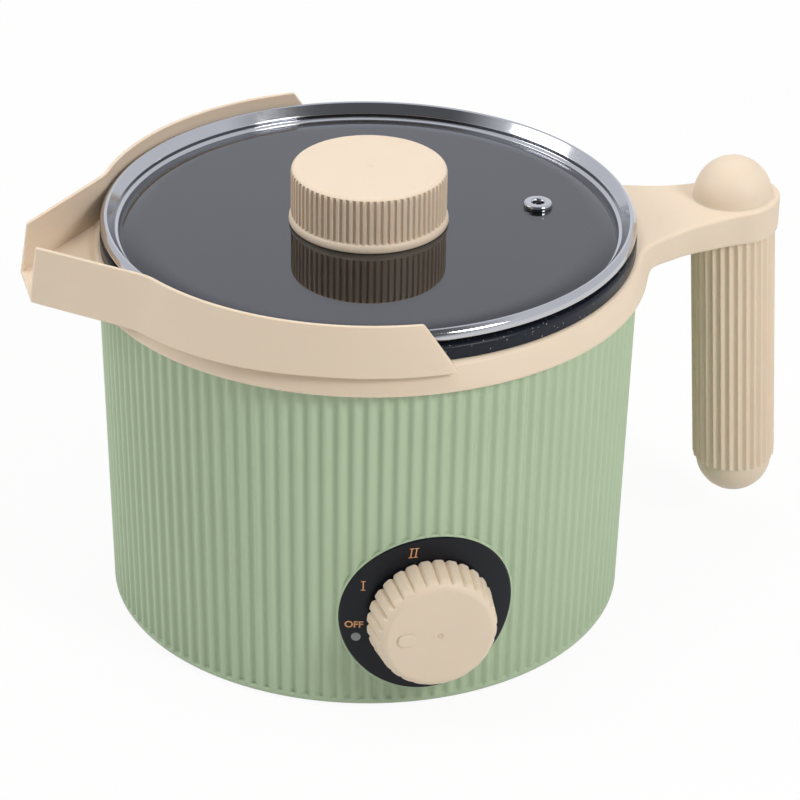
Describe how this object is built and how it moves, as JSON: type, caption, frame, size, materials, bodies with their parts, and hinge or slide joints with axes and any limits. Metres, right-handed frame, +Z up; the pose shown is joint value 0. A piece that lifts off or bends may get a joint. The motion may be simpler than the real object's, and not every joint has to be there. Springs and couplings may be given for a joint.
{
  "type": "candle wax melter",
  "caption": "Electric pouring pot that melts wax: fluted body, tapered spout, glass lid with a knob, hanging grip and a rotary heat dial.",
  "frame": {"origin": "on the pot's axis, in the plane that the four feet stand on", "axes": "+Z up along the pot's axis, +X towards the handle, -X towards the pouring spout, -Y towards the dial, +Y towards the power inlet"},
  "size_m": [0.2677, 0.2005, 0.1567],
  "materials": {
    "sage_plastic": "satin moulded",
    "beige_plastic": "satin moulded",
    "black_plastic": "fine spark texture",
    "gloss_black": "smooth",
    "non_stick": "speckled non-stick coat",
    "smoked_glass": "tempered",
    "polished_steel": "polished",
    "steel": "zinc plated",
    "brass": "nickel free",
    "aluminium": "as cast",
    "lens_plastic": "diffusing",
    "rubber": "matt",
    "wire_cover": "glass braid"
  },
  "bodies": {
    "housing": {"outer_shell": "sage_plastic", "collar": "beige_plastic", "pour_spout": "beige_plastic", "inner_pot": "non_stick", "grip_sleeve": "beige_plastic", "grip_end_cap": "beige_plastic", "dome_cap": "beige_plastic", "handle_bolt": "steel", "handle_nut": "steel", "dial_plate": "gloss_black", "indicator_lens": "lens_plastic", "indicator_lamp": "lens_plastic", "rotary_switch": "black_plastic", "switch_nut": "steel", "power_inlet": "black_plastic", "inlet_pins": "brass", "inlet_screws": "steel", "base_cover": "black_plastic", "rubber_feet": "rubber", "base_screws": "steel", "heater_plate": "aluminium", "heating_element": "steel", "thermostat": "steel", "thermal_fuse": "steel", "fuse_clamp": "steel", "heat_shield": "steel", "shield_screws": "steel", "wiring": "wire_cover"},
    "lid": {"lid_glass": "smoked_glass", "lid_rim": "polished_steel", "lid_knob": "beige_plastic", "knob_screw": "steel", "knob_washer": "steel", "knob_gasket": "rubber", "vent_grommet": "polished_steel"},
    "dial": {"dial_knob": "beige_plastic", "dial_shaft": "steel"}
  },
  "joints": [
    {"name": "lid_lift", "type": "slide", "parent": "housing", "child": "lid", "axis": [0, 0, 1], "range_m": [0, 0.1]},
    {"name": "dial_turn", "type": "hinge", "parent": "housing", "child": "dial", "pos_m": [-0.00102, -0.08999, 0.0362], "axis": [0.0113, 0.9999, 0], "range_deg": [0, 80]}
  ]
}
